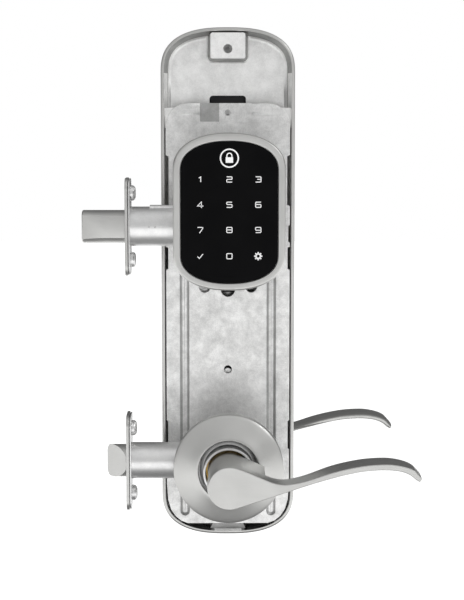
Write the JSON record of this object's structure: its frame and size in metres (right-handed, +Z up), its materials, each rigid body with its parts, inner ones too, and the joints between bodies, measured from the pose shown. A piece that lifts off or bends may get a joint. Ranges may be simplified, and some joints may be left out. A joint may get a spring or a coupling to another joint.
{
  "type": "keypad smart lock",
  "caption": "Keypad smart lock: touch keypad, deadbolt and spring latch, outside and inside levers, long room-side housing with battery bay",
  "frame": {"origin": "centre of the lever cross bore at the middle of the door thickness", "axes": "+X away from the door edge, +Y into the room, +Z up"},
  "size_m": [0.1917, 0.1824, 0.3076],
  "materials": {
    "satin_nickel": "satin nickel plated zinc",
    "zinc_plate": "zinc plated steel",
    "cast_zinc": "as-cast zinc alloy",
    "steel": "bright zinc plated steel",
    "brass": "plain brass",
    "black_lens": "gloss black touch lens",
    "black_plastic": "moulded, fine matt",
    "rubber": "soft black gasket",
    "circuit_board": "green solder mask",
    "battery_wrap": "plain dark sleeve"
  },
  "bodies": {
    "fixed_set": {"keypad_gasket": "rubber", "keypad_housing": "satin_nickel", "keypad_back_plate": "zinc_plate", "keypad_lens": "black_lens", "keypad_board": "circuit_board", "keypad_bolt_1": "steel", "keypad_bolt_2": "steel", "deadbolt_faceplate": "satin_nickel", "deadbolt_backplate": "zinc_plate", "deadbolt_barrel": "zinc_plate", "deadbolt_case": "zinc_plate", "latch_faceplate": "satin_nickel", "latch_backplate": "zinc_plate", "latch_barrel": "zinc_plate", "latch_case": "zinc_plate", "exterior_rose": "satin_nickel", "exterior_chassis": "zinc_plate", "exterior_collar": "steel", "exterior_bushing": "brass", "lever_bolt_1": "steel", "lever_bolt_2": "steel", "interior_plate": "zinc_plate", "plate_rivet": "steel", "interior_housing": "satin_nickel", "wiring_tray": "cast_zinc", "battery_tray": "black_plastic", "battery_1": "battery_wrap", "battery_2": "battery_wrap", "battery_3": "battery_wrap", "battery_4": "battery_wrap", "motor_gearbox": "black_plastic", "deadbolt_motor": "steel", "control_board": "circuit_board", "interior_collar": "steel"},
    "exterior_lever_set": {"exterior_lever": "satin_nickel", "exterior_spindle": "steel", "latch_crank": "steel"},
    "latch_set": {"latch_bolt": "satin_nickel"},
    "plunger": {"latch_plunger": "satin_nickel"},
    "interior_lever_set": {"interior_lever": "satin_nickel", "interior_spindle": "steel", "link_cam": "steel"},
    "link": {"interconnect_link": "zinc_plate"},
    "thumbturn_set": {"thumbturn": "satin_nickel", "thumbturn_gear": "brass", "tailpiece": "steel", "deadbolt_crank": "steel"},
    "deadbolt_set": {"deadbolt_bolt": "satin_nickel"},
    "pinion": {"motor_pinion": "brass"},
    "cover": {"battery_cover": "satin_nickel"}
  },
  "joints": [
    {"name": "exterior_lever_turn", "type": "hinge", "parent": "fixed_set", "child": "exterior_lever_set", "pos_m": [0, 0, 0], "axis": [0, 1, 0], "range_deg": [0, 45], "stiffness_Nm_per_rad": 0.7, "springref_deg": -28.65},
    {"name": "latch_retract", "type": "slide", "parent": "fixed_set", "child": "latch_set", "axis": [1, 0, 0], "range_m": [0, 0.0121]},
    {"name": "plunger_press", "type": "slide", "parent": "latch_set", "child": "plunger", "axis": [1, 0, 0], "range_m": [0, 0.008], "stiffness_N_per_m": 60, "springref_m": -0.006},
    {"name": "interior_lever_turn", "type": "hinge", "parent": "fixed_set", "child": "interior_lever_set", "pos_m": [0, 0, 0], "axis": [0, 1, 0], "range_deg": [0, 45], "stiffness_Nm_per_rad": 0.7, "springref_deg": -28.65},
    {"name": "link_lift", "type": "slide", "parent": "fixed_set", "child": "link", "axis": [0, 0, 1], "range_m": [0, 0.0109]},
    {"name": "thumbturn_turn", "type": "hinge", "parent": "fixed_set", "child": "thumbturn_set", "pos_m": [0, 0, 0.1397], "axis": [0, 1, 0], "range_deg": [0, 90]},
    {"name": "deadbolt_retract", "type": "slide", "parent": "fixed_set", "child": "deadbolt_set", "axis": [1, 0, 0], "range_m": [0, 0.0256]},
    {"name": "motor_pinion_turn", "type": "hinge", "parent": "fixed_set", "child": "pinion", "pos_m": [0, 0, 0.1183], "axis": [0, 1, 0], "range_deg": [-289, 1]},
    {"name": "battery_cover_lift", "type": "slide", "parent": "fixed_set", "child": "cover", "axis": [0, 1, 0], "range_m": [0, 0.03]}
  ],
  "couplings": [
    {"joint": "latch_retract", "follows": "exterior_lever_turn", "m_per_rad": 0.015279},
    {"joint": "link_lift", "follows": "interior_lever_turn", "m_per_rad": 0.013643},
    {"joint": "deadbolt_retract", "follows": "thumbturn_turn", "m_per_rad": 0.01617},
    {"joint": "motor_pinion_turn", "follows": "thumbturn_turn", "ratio": -3.2}
  ]
}
